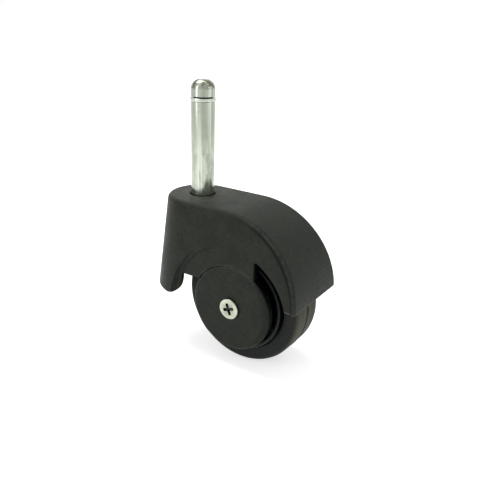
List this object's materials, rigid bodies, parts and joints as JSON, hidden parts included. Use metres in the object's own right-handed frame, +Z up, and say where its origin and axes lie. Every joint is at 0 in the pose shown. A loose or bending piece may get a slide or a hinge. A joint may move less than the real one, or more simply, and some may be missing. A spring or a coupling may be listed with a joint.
{
  "type": "swivel stem castor",
  "caption": "Hooded swivel castor: a tyred wheel trails under a round stem that pushes into a socket and is held there by a grip ring.",
  "frame": {"origin": "on the stem's axis, where the plain stem meets the hood's flat top", "axes": "+X the way the wheel trails, +Y along the axle away from the screw head, +Z up the stem"},
  "size_m": [0.0614, 0.0306, 0.0924],
  "materials": {
    "stem_steel": "satin zinc plating",
    "ring_steel": "plated spring steel",
    "washer_steel": "plated steel",
    "clip_steel": "dark spring steel",
    "bush_plastic": "natural nylon",
    "hood_plastic": "charcoal moulded plastic with a fine texture",
    "barrel_steel": "bright zinc plating",
    "screw_steel": "bright zinc plating",
    "side_washer_plastic": "natural nylon",
    "rim_plastic": "black moulded plastic",
    "tyre_rubber": "black moulded tyre"
  },
  "bodies": {
    "stem_body": {"stem": "stem_steel", "grip_ring": "ring_steel", "stem_washer": "washer_steel", "stem_clip": "clip_steel"},
    "hood_body": {"hood": "hood_plastic", "swivel_bush": "bush_plastic", "axle_barrel": "barrel_steel", "axle_screw": "screw_steel", "near_washer": "side_washer_plastic", "far_washer": "side_washer_plastic"},
    "wheel_body": {"wheel_rim": "rim_plastic", "tyre": "tyre_rubber"}
  },
  "joints": [
    {"name": "swivel", "type": "hinge", "parent": "stem_body", "child": "hood_body", "pos_m": [0, 0, 0], "axis": [0, 0, 1], "continuous": true},
    {"name": "wheel_spin", "type": "hinge", "parent": "hood_body", "child": "wheel_body", "pos_m": [0.0215, 0, -0.0324], "axis": [0, 1, 0], "continuous": true}
  ]
}
